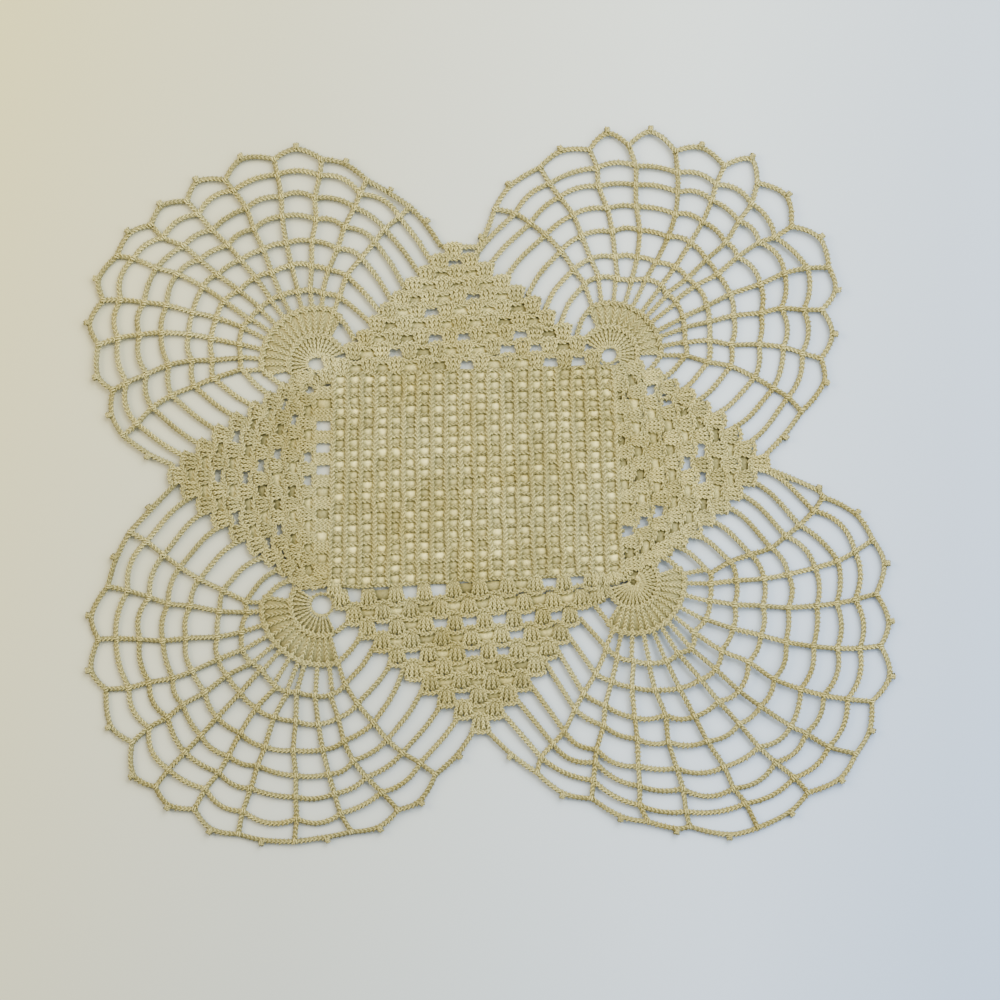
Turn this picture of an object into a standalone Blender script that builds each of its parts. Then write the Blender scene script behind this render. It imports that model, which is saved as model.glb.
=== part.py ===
"""Lace doily: a crocheted square with four fans, laid flat.

The middle is a square of filet mesh with a wedge of shell rows on each side, which makes a
diamond. A fan of netted chains opens from each corner of the square, and its rings end on the
diamond's two nearest edges. A scalloped rim with small knots runs round the whole cloth.

Sizes are in millimetres and bearings in degrees, counter-clockwise from +X. The sheet lies on
z = 0, with the origin under the middle of its outline.
"""

import math
from collections import namedtuple

import bmesh
import bpy
from mathutils import Vector
from mathutils.geometry import delaunay_2d_cdt

MM = 0.001
COTTON_COLOUR = (0.445, 0.392, 0.216, 1.0)

# ---- the sheet ----------------------------------------------------------------------------
NET_HEIGHT = 1.9           # the top of the fans' chains
KNOT_HEIGHT = 2.6          # the top of the rim's knots
HUB_HEIGHT = 2.4           # the top of the dense part of each fan
SHELL_HEIGHT = 2.8         # the top of a shell in a wedge
FILET_BAR_HEIGHT = 2.3     # the filet square's bars
FILET_DIP_HEIGHT = 1.6     # the filet square between its bars
STRAND_WIDTH = 2.6         # one chain of the net
HUB_HOLE_SIDES = 8
SLIT_SHOULDER = 0.45       # where a slit is widest, as a share of its half length
SMALLEST_GAP = 4.0         # a gap narrower than this stays filled
SHARPEST_MITRE = 0.6       # keeps a narrow corner from shooting out when its sides move
FLAT_FOLD = 0.2            # below this the two sides of a corner lie on each other
SAME_POINT = 1e-5

# ---- the filet square, whose cells are shown two by two ------------------------------------
FILET_CELLS = 20
FILET_CORNERS = ((-86.7, -55.1), (71.0, -47.5), (66.2, 64.3), (-84.3, 59.4))
FILET_GROUP = 2

# ---- the rim ------------------------------------------------------------------------------
RIM_STEPS = 5              # straight runs in one scallop
KNOT_REACH = 3.4           # how far a knot stands out from the middle of the rim chain
KNOT_WIDTH = 4.6
KNOT_TIP = 0.45            # the tip's width as a share of the knot's
KNOT_SHARPNESS = 1.7       # the power that rounds a scallop on its way to its knot

# ---- the net ------------------------------------------------------------------------------
MID_RING = 0.55            # the fraction of a spoke at which its middle bearing is given
RING_BOW = 0.15            # a ring's chain bows out by this share of its chord
MERGED_RING = 1            # the ring that is left out, so that its small gaps are cut in pairs
MERGED_STRANDS = 0.05      # a ring whose step is below this runs into the rim half-way

Spoke = namedtuple("Spoke", "root_deg mid_deg rim_deg first_mm rim_mm bow_mm knot_at")
Tail = namedtuple("Tail", "bow_mm knot_at pull")
Fan = namedtuple("Fan", "name hub hole enter leave rings enter_steps leave_steps "
                        "tail_in tail_out spokes")
Hole = namedtuple("Hole", "long_mm short_mm turn_deg")
Slit = namedtuple("Slit", "x y long_mm short_mm turn_deg")
Wedge = namedtuple("Wedge", "name first last across_deg pitch_first pitch_last tilt_deg arch")

# Each fan is read clockwise. A spoke's row has its bearings at the first ring, at MID_RING and
# at the rim, its distance from the hub at the first ring and at the rim, and the scallop that
# follows it. The steps are where the rings end, as shares of the way from the diamond's corner
# to the hub, from the innermost ring outwards. A tail is the rim's last scallop, beside the
# diamond, and pull is how far the strands there keep their ring's direction before they turn.
FANS = (
    Fan("top_left", (-91.5, 65.3), Hole(4.4, 2.9, 0), (-171.5, 11.0), (-26.5, 128.5),
        (0, 0.20, 0.38, 0.56, 0.72, 0.88, 1),
        (0.67, 0.565, 0.45, 0.32, 0.19, 0.08),
        (0.62, 0.53, 0.43, 0.32, 0.20, 0.10),
        Tail(1.5, 0.45, 0.05), Tail(1.0, 0.42, 0.05),
        (Spoke(185, 192, 200, 43, 113, 3.6, 0.50),
         Spoke(175, 181, 187, 44, 113, 5.5, 0.37),
         Spoke(166, 169, 175, 45, 119, 6.0, 0.46),
         Spoke(155, 159, 164, 47, 122, 6.0, 0.40),
         Spoke(147, 148, 152, 46, 125, 4.5, 0.53),
         Spoke(138, 139, 141, 45, 117, 5.5, 0.44),
         Spoke(128, 128, 130, 44, 113, 6.5, 0.42),
         Spoke(120, 116, 118, 42, 113, 7.0, 0.44),
         Spoke(108, 105, 103, 41, 113, 5.5, 0.46),
         Spoke(98, 93, 90, 40, 110, 3.0, 0.46),
         Spoke(88, 80, 76, 39, 102, 0.5, 0.50),
         Spoke(75, 67, 60, 38, 98, 0.0, 0.50))),
    Fan("top_right", (64.0, 70.0), Hole(3.9, 3.0, 35), (-6.8, 128.5), (147.0, 15.0),
        (0, 0.175, 0.36, 0.55, 0.72, 0.86, 1),
        (0.65, 0.53, 0.40, 0.24, 0.12, 0.02),
        (0.73, 0.60, 0.50, 0.375, 0.245, 0.115),
        Tail(-1.0, 0.25, 0.12), Tail(1.0, 0.50, 0.12),
        (Spoke(109, 118, 127, 40, 100, 3.5, 0.44),
         Spoke(98, 105, 110, 42, 108, 4.5, 0.48),
         Spoke(85, 91, 95, 42, 111, 8.0, 0.49),
         Spoke(73, 79, 85, 43, 113, 9.0, 0.42),
         Spoke(64, 65, 72, 45, 115, 6.0, 0.46),
         Spoke(53, 55, 59, 47, 120, 10.0, 0.56),
         Spoke(46, 45, 49, 46, 122, 8.0, 0.51),
         Spoke(38, 37, 35, 46, 121, 7.0, 0.50),
         Spoke(27, 26, 22, 44, 128, 5.5, 0.48),
         Spoke(20, 16, 12, 43, 118, 6.0, 0.49),
         Spoke(10, 4, -1, 41, 114, 6.0, 0.36),
         Spoke(0, -8, -16, 42, 109, 0.0, 0.50))),
    Fan("bottom_right", (69.0, -54.0), None, (147.5, 9.5), (-3.0, -131.0),
        (0, 0.17, 0.33, 0.48, 0.64, 0.76, 0.88, 1),
        (0.65, 0.54, 0.42, 0.30, 0.20, 0.10, 0.01),
        (0.74, 0.635, 0.545, 0.455, 0.325, 0.22, 0.12),
        Tail(2.0, 0.88, 0.12), Tail(1.5, 0.45, 0.0),
        (Spoke(10, 15, 23, 49, 121, 4.5, 0.55),
         Spoke(1, 4, 10, 49, 139, 5.5, 0.45),
         Spoke(-10, -7, -2, 49, 139, 5.5, 0.55),
         Spoke(-22, -18, -13, 49, 146, 7.5, 0.50),
         Spoke(-32, -30, -25, 48, 150, 3.5, 0.51),
         Spoke(-41, -40, -36, 52, 156, 5.0, 0.45),
         Spoke(-49, -49, -48, 49, 152, 3.0, 0.41),
         Spoke(-58, -60, -60, 48, 150, 4.0, 0.41),
         Spoke(-68, -72, -73, 44, 137, 2.0, 0.30),
         Spoke(-80, -84, -83, 41, 129, 3.0, 0.43),
         Spoke(-92, -97, -97, 39, 116, 4.0, 0.46),
         Spoke(-102, -110, -114, 36, 111, 0.0, 0.50))),
    Fan("bottom_left", (-91.0, -64.5), Hole(4.9, 4.6, 0), (-8.0, -130.5), (-169.0, 1.5),
        (0, 0.19, 0.39, 0.55, 0.70, 0.85, 1),
        (0.66, 0.54, 0.47, 0.335, 0.21, 0.10),
        (0.705, 0.605, 0.46, 0.335, 0.215, 0.11),
        Tail(2.0, 0.53, 0.08), Tail(0.2, 0.45, 0.12),
        (Spoke(-74, -64, -56, 44, 111, 4.5, 0.57),
         Spoke(-83, -78, -69, 47, 118, 4.0, 0.47),
         Spoke(-94, -88, -83, 50, 124, 0.5, 0.43),
         Spoke(-106, -99, -96, 49, 129, 1.5, 0.57),
         Spoke(-112, -112, -110, 50, 131, 5.0, 0.52),
         Spoke(-121, -122, -122, 51, 130, 5.0, 0.54),
         Spoke(-132, -133, -133, 49, 133, 7.5, 0.40),
         Spoke(-140, -144, -144, 49, 126, 6.5, 0.40),
         Spoke(-150, -154, -158, 49, 124, 6.5, 0.42),
         Spoke(-161, -168, -171.5, 44, 123, 6.0, 0.40),
         Spoke(-174, -181, -185, 41, 116, 1.5, 0.50),
         Spoke(-182, -195, -201, 41, 111, 0.0, 0.50))),
)

# The short gaps between a fan's dense part and the diamond.
SLITS = (
    Slit(-111.0, 58.6, 13.0, 4.2, -14),
    Slit(-122.3, 57.0, 16.0, 4.4, -28),
    Slit(-78.3, 81.5, 12.5, 5.8, -52),
    Slit(-73.8, 89.8, 17.0, 6.4, -50),
    Slit(84.0, 67.0, 13.0, 4.4, 25),
    Slit(50.0, 84.2, 14.0, 5.4, 54),
    Slit(46.4, 93.2, 17.5, 6.8, 57),
    Slit(-82.4, -72.9, 9.4, 4.6, 55),
    Slit(-78.3, -83.7, 15.5, 6.4, 55),
    Slit(-71.8, -91.5, 20.0, 8.0, 52),
    Slit(-110.2, -56.2, 13.5, 5.4, 40),
    Slit(-119.8, -54.2, 18.0, 5.6, 38),
    Slit(62.4, -64.8, 11.5, 4.4, -62),
    Slit(58.6, -76.8, 18.0, 7.2, -66),
    Slit(92.3, -42.9, 10.0, 4.1, -22),
    Slit(104.5, -40.8, 17.0, 5.0, -30),
)

# A wedge has ten rows of shells, one shell in the first row and ten in the last. Its rows run
# along across_deg, from the middle of the first row to the middle of the last. The rows turn by
# tilt_deg on their way to the square, and arch is how fast their ends fall back, per mm.
WEDGE_ROWS = 10
WEDGES = (
    Wedge("top", (-19.8, 126.0), (-12.7, 66.0), 2, 15.8, 15.0, 0, 0),
    Wedge("right", (144.8, 11.4), (72.5, 12.0), -90, 15.8, 12.1, 5.0, 0),
    Wedge("bottom", (-5.3, -128.5), (-13.0, -57.1), 180, 17.2, 15.0, 4.6, 0),
    Wedge("left", (-168.6, 5.4), (-99.4, 2.6), 90, 16.0, 12.3, 0, 0.006),
)
WEDGE_NARROWING = 1.5      # the power by which a wedge's pitch shrinks towards the square
WEDGE_SAG = 2.2            # how far the middle rows lie outwards of an even spacing


def polar(centre, bearing, distance):
    """The point at a bearing and a distance from a centre."""
    turn = math.radians(bearing)
    return Vector((centre[0] + distance * math.cos(turn), centre[1] + distance * math.sin(turn)))


def blend(a, b, share):
    return a + (b - a) * share


def left_of(direction):
    """The unit vector to the left of a direction."""
    side = Vector((-direction.y, direction.x))
    side.normalize()
    return side


# ---- the net's lines ----------------------------------------------------------------------
def spoke_bearing(spoke, share):
    """A spoke's bearing, on a parabola through its three given bearings."""
    first = spoke.root_deg
    rise = spoke.rim_deg - first
    sag = spoke.mid_deg - first - rise * MID_RING
    return first + rise * share + sag * share * (1 - share) / (MID_RING * (1 - MID_RING))


def junctions(fan):
    """The points where rings and spokes cross: a list for each ring, the rim last."""
    rows = []
    for share in fan.rings:
        row = [polar(fan.hub, spoke_bearing(s, share), blend(s.first_mm, s.rim_mm, share))
               for s in fan.spokes]
        rows.append(row)
    return rows


def bowed_middle(a, b, share):
    """The middle of a chain from a to b, read clockwise, that bows away from the hub."""
    return blend(a, b, 0.5) + left_of(b - a) * (b - a).length * share


def end_strand(start, target, along, pull):
    """The middle of the strand that leads from a junction to the diamond's edge."""
    return blend(start, target, 0.5) + along * (target - start).length * pull


def scallop(a, b, bow, knot_at, with_knot):
    """The rim chain from a to b, without b: (point, outward, is_knot) at each step."""
    across = left_of(b - a)
    shares = [i / RIM_STEPS for i in range(RIM_STEPS)]
    if with_knot:
        nearest = min(shares[1:], key=lambda share: abs(share - knot_at))
        shares = [knot_at if share == nearest else share for share in shares]
    line = []
    for share in shares:
        away = (share - knot_at) / (knot_at if share < knot_at else 1 - knot_at)
        lift = bow * (1 - abs(away) ** KNOT_SHARPNESS)
        line.append((blend(a, b, share) + across * lift, across, with_knot and share == knot_at))
    return line


def rim_line():
    """The whole rim, clockwise."""
    line = []
    for fan in FANS:
        rim = junctions(fan)[-1]
        line += scallop(Vector(fan.enter), rim[0], fan.tail_in.bow_mm, fan.tail_in.knot_at, True)
        for i in range(len(rim) - 1):
            line += scallop(rim[i], rim[i + 1], fan.spokes[i].bow_mm, fan.spokes[i].knot_at, True)
        line += scallop(rim[-1], Vector(fan.leave), fan.tail_out.bow_mm, fan.tail_out.knot_at, True)
        line.append((Vector(fan.leave), Vector(fan.leave).normalized(), False))
    return line


# ---- outlines -----------------------------------------------------------------------------
def corner_shift(before, here, after):
    """The unit move to the left of a corner, lengthened so that both its sides move by 1."""
    side_in = left_of(here - before)
    side_out = left_of(after - here)
    middle = side_in + side_out
    if middle.length < FLAT_FOLD:
        return side_in
    middle.normalize()
    return middle / max(middle.dot(side_in), SHARPEST_MITRE)


def offset_loop(loop, distance):
    """A closed loop moved to its left by a distance."""
    count = len(loop)
    return [loop[i] + corner_shift(loop[i - 1], loop[i], loop[(i + 1) % count]) * distance
            for i in range(count)]


def outer_outline():
    """The outline of the cloth, with its knots, clockwise: (point, height)."""
    line = rim_line()
    moved = offset_loop([point for point, _, _ in line], STRAND_WIDTH / 2)
    outline = []
    for (point, outward, is_knot), edge in zip(line, moved):
        if not is_knot:
            outline.append((edge, NET_HEIGHT))
            continue
        sideways = Vector((outward.y, -outward.x)) * KNOT_WIDTH / 2
        outline.append((edge - sideways, NET_HEIGHT))
        tip = point + outward * KNOT_REACH
        outline.append((tip - sideways * KNOT_TIP, KNOT_HEIGHT))
        outline.append((tip + sideways * KNOT_TIP, KNOT_HEIGHT))
        outline.append((edge + sideways, NET_HEIGHT))
    return outline


def area_of(loop):
    """Signed area, positive where the loop runs counter-clockwise."""
    total = 0.0
    for i, point in enumerate(loop):
        following = loop[(i + 1) % len(loop)]
        total += point.x * following.y - following.x * point.y
    return total / 2


def narrowest(loop):
    """A loop's mean width: twice its area over its longest reach."""
    longest = max((a - b).length for a in loop for b in loop)
    return abs(area_of(loop)) / longest


def gap(lines):
    """The hole inside a ring of strands, given clockwise by their middles."""
    loop = offset_loop(lines, -STRAND_WIDTH / 2)
    return list(reversed(loop))


def net_gaps(fan):
    """The gaps between spokes and rings. The two innermost rings of gaps are cut as one."""
    rings = junctions(fan)
    kept = [k for k in range(len(rings)) if k != MERGED_RING]
    holes = []
    for inner, outer in zip(kept[:-1], kept[1:]):
        for i in range(len(fan.spokes) - 1):
            a, b = rings[outer][i], rings[outer][i + 1]
            c, d = rings[inner][i + 1], rings[inner][i]
            if outer == len(rings) - 1:
                bow = fan.spokes[i].bow_mm / (b - a).length
            else:
                bow = RING_BOW
            loop = [a, bowed_middle(a, b, bow), b, c, bowed_middle(d, c, RING_BOW), d]
            holes.append(gap(loop))
    return holes


def end_gaps(fan):
    """The long gaps between the strands that lead from the net to the diamond."""
    holes = []
    rings = junctions(fan)
    for corner, steps, column, tail in ((fan.enter, fan.enter_steps, 0, fan.tail_in),
                                        (fan.leave, fan.leave_steps, -1, fan.tail_out)):
        corner = Vector(corner)
        starts = [row[column] for row in rings]
        targets = [blend(corner, Vector(fan.hub), share) for share in steps]
        turn = 1 if column == 0 else -1
        for k in range(len(starts) - 1):
            inner, outer = starts[k], starts[k + 1]
            near = targets[k]
            way = left_of(inner - Vector(fan.hub)) * turn
            middle_in = end_strand(inner, near, way, tail.pull)
            if k + 1 < len(targets):
                far = targets[k + 1]
                middle_out = end_strand(outer, far, way, tail.pull)
            else:
                far = corner
                side = left_of(outer - corner) * turn
                middle_out = blend(corner, outer, 0.5) + side * tail.bow_mm
            if k + 1 == len(targets) and steps[-1] < MERGED_STRANDS:
                loop = [inner, outer, middle_out, middle_in]
            else:
                loop = [inner, outer, middle_out, far, near, middle_in]
            if area_of(loop) > 0:
                loop.reverse()
            holes.append(gap(loop))
    return holes


def slit_hole(slit):
    """A short gap: a long hexagon."""
    turn = math.radians(slit.turn_deg)
    along = Vector((math.cos(turn), math.sin(turn))) * slit.long_mm / 2
    across = Vector((-math.sin(turn), math.cos(turn))) * slit.short_mm / 2
    shoulder = along * SLIT_SHOULDER
    middle = Vector((slit.x, slit.y))
    return [middle + along, middle + shoulder + across, middle - shoulder + across,
            middle - along, middle - shoulder - across, middle + shoulder - across]


def hub_hole(fan):
    """The round hole at a fan's centre."""
    if fan.hole is None:
        return []
    turn = math.radians(fan.hole.turn_deg)
    loop = []
    for i in range(HUB_HOLE_SIDES):
        angle = 2 * math.pi * i / HUB_HOLE_SIDES
        u = fan.hole.long_mm * math.cos(angle)
        v = fan.hole.short_mm * math.sin(angle)
        loop.append(Vector((fan.hub[0] + u * math.cos(turn) - v * math.sin(turn),
                            fan.hub[1] + u * math.sin(turn) + v * math.cos(turn))))
    return [loop]


def all_gaps():
    """Every gap that is cut through: (loop, height of its edge)."""
    holes = [(slit_hole(slit), HUB_HEIGHT) for slit in SLITS]
    for fan in FANS:
        holes += [(loop, HUB_HEIGHT) for loop in hub_hole(fan)]
        holes += [(loop, NET_HEIGHT) for loop in net_gaps(fan) + end_gaps(fan)
                  if area_of(loop) > 0 and narrowest(loop) > SMALLEST_GAP / 2]
    return holes


# ---- the relief of the uncut parts ---------------------------------------------------------
def shell_centre(wedge, row, place):
    """The middle of a shell. place is its distance along its row, in pitches."""
    first, last = Vector(wedge.first), Vector(wedge.last)
    share = row / (WEDGE_ROWS - 1)
    out = (first - last).normalized()
    across = polar((0, 0), wedge.across_deg + wedge.tilt_deg * share, 1)
    pitch = blend(wedge.pitch_first, wedge.pitch_last, share ** WEDGE_NARROWING)
    along = pitch * place
    sag = WEDGE_SAG * 4 * share * (1 - share) - wedge.arch * (1 - share ** 3) * along ** 2
    return blend(first, last, share) + across * along + out * sag


def shell_tops():
    """The top of each shell in the wedges' rows: (point, height)."""
    return [(shell_centre(wedge, row, i - row / 2), SHELL_HEIGHT)
            for wedge in WEDGES for row in range(WEDGE_ROWS) for i in range(row + 1)]


def filet_point(across, up):
    """A point of the filet square, by its shares of the way across and up."""
    low_left, low_right, top_right, top_left = (Vector(corner) for corner in FILET_CORNERS)
    return blend(blend(low_left, low_right, across), blend(top_left, top_right, across), up)


def filet_relief():
    """The crossings of the filet's bars, and the dips between them: (point, height)."""
    points = []
    groups = FILET_CELLS // FILET_GROUP
    for i in range(groups):
        for j in range(groups):
            points.append((filet_point((i + 0.5) / groups, (j + 0.5) / groups),
                           FILET_DIP_HEIGHT))
            if i and j:
                points.append((filet_point(i / groups, j / groups), FILET_BAR_HEIGHT))
    return points


# ---- the solid ----------------------------------------------------------------------------
def inside(point, loop):
    """Whether a point lies inside a loop."""
    crossings = 0
    for i, a in enumerate(loop):
        b = loop[(i + 1) % len(loop)]
        if (a.y > point.y) != (b.y > point.y):
            crossings += point.x < a.x + (b.x - a.x) * (point.y - a.y) / (b.y - a.y)
    return crossings % 2 == 1


def flat_triangles(points, loops):
    """Triangles that fill the first loop without the others. A loop is indices into points."""
    owner = {i: number for number, loop in enumerate(loops) for i in loop}
    edges = [(loop[i - 1], loop[i]) for loop in loops for i in range(len(loop))]
    out = delaunay_2d_cdt(points, edges, [], 1, SAME_POINT)
    triangles = []
    for face in out[2]:
        if any(len(out[3][i]) != 1 for i in face):
            raise ValueError("two gaps meet, or a gap meets the outline")
        corners = [out[3][i][0] for i in face]
        owners = {owner.get(i) for i in corners}
        gap_number = owners.pop()
        if not owners and gap_number:
            centre = (points[corners[0]] + points[corners[1]] + points[corners[2]]) / 3
            if inside(centre, [points[i] for i in loops[gap_number]]):
                continue
        triangles.append(corners)
    return triangles


def doily_mesh():
    """The sheet: a flat back, a top with relief, and a wall round each edge."""
    outline = outer_outline()
    gaps = all_gaps()
    loops = []
    border = []
    for loop in [outline] + [[(point, height) for point in gap_loop]
                             for gap_loop, height in gaps]:
        loops.append(list(range(len(border), len(border) + len(loop))))
        border += loop
    relief = [(point, height) for point, height in shell_tops() + filet_relief()
              if not any(inside(point, gap_loop) for gap_loop, _ in gaps)]

    across = [point.x for point, _ in outline]
    along = [point.y for point, _ in outline]
    middle = Vector(((min(across) + max(across)) / 2, (min(along) + max(along)) / 2))
    flat = [point - middle for point, _ in border + relief]
    heights = [height for _, height in border + relief]

    mesh = bmesh.new()
    back = [mesh.verts.new((p.x * MM, p.y * MM, 0)) for p in flat[:len(border)]]
    top = [mesh.verts.new((p.x * MM, p.y * MM, height * MM)) for p, height in zip(flat, heights)]
    for corners in flat_triangles(flat[:len(border)], loops):
        mesh.faces.new([back[i] for i in reversed(corners)])
    for corners in flat_triangles(flat, loops):
        mesh.faces.new([top[i] for i in corners])
    for loop in loops:
        for a, b in zip(loop, loop[1:] + loop[:1]):
            mesh.faces.new((back[a], back[b], top[b]))
            mesh.faces.new((back[a], top[b], top[a]))
    bmesh.ops.recalc_face_normals(mesh, faces=mesh.faces)
    return mesh


def cotton():
    """Ecru cotton."""
    material = bpy.data.materials.new("ecru_cotton")
    material.use_nodes = True
    surface = material.node_tree.nodes["Principled BSDF"]
    surface.inputs["Base Color"].default_value = COTTON_COLOUR
    surface.inputs["Roughness"].default_value = 0.9
    surface.inputs["Metallic"].default_value = 0.0
    material.diffuse_color = COTTON_COLOUR
    return material


def build():
    for thing in list(bpy.data.objects):
        bpy.data.objects.remove(thing, do_unlink=True)
    mesh = doily_mesh()
    data = bpy.data.meshes.new("doily")
    mesh.to_mesh(data)
    mesh.free()
    data.materials.append(cotton())
    bpy.context.scene.collection.objects.link(bpy.data.objects.new("doily", data))


if __name__ == "__main__":
    build()
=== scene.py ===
"""Lace doily, crocheted stitch by stitch, seen from straight above on a pale table.

The layout is the one that the solid has: a square of filet mesh, four wedges of shell rows that
make it a diamond, and a fan of netted chains on each corner of the square. Every chain, post and
shell is laid here as the path of its thread, and the thread is a round tube.

Lengths are in millimetres until a mesh is made, and bearings in degrees, counter-clockwise
from +X. A line is an array of points (x, y, z), and z is 0 on the table.
"""

import math
from collections import namedtuple

import bpy
import numpy as np
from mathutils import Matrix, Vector


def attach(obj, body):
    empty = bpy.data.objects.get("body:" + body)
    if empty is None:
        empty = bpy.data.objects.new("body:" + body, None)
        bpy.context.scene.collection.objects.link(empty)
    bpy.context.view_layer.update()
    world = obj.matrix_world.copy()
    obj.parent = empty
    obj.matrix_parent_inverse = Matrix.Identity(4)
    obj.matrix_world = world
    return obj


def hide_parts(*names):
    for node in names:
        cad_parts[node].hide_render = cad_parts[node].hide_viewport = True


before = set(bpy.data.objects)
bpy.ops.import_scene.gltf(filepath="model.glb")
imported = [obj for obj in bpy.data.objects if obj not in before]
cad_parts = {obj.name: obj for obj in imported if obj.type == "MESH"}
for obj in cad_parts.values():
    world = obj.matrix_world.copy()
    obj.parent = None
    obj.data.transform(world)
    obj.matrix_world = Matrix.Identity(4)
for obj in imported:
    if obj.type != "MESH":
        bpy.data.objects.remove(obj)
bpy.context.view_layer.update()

MM = 0.001
SEED = 11

# ---- the layout, as in the solid -------------------------------------
MIDDLE = (-0.317, -0.588)    # the middle of the outline's box, which lies over the origin
MID_RING = 0.55              # the fraction of a spoke at which its middle bearing is given
KNOT_SHARPNESS = 1.7         # the power that rounds a scallop on its way to its knot
KNOT_TONE = 0.8              # the rim's knots are a little browner

FILET_CELLS = 20
FILET_CORNERS = ((-86.7, -55.1), (71.0, -47.5), (66.2, 64.3), (-84.3, 59.4))

Spoke = namedtuple("Spoke", "root_deg mid_deg rim_deg first_mm rim_mm bow_mm knot_at")
Tail = namedtuple("Tail", "bow_mm knot_at pull")
Fan = namedtuple("Fan", "name hub hole enter leave rings enter_steps leave_steps "
                        "tail_in tail_out spokes")
Hole = namedtuple("Hole", "long_mm short_mm turn_deg")
Wedge = namedtuple("Wedge", "name first last across_deg pitch_first pitch_last tilt_deg arch")

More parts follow.
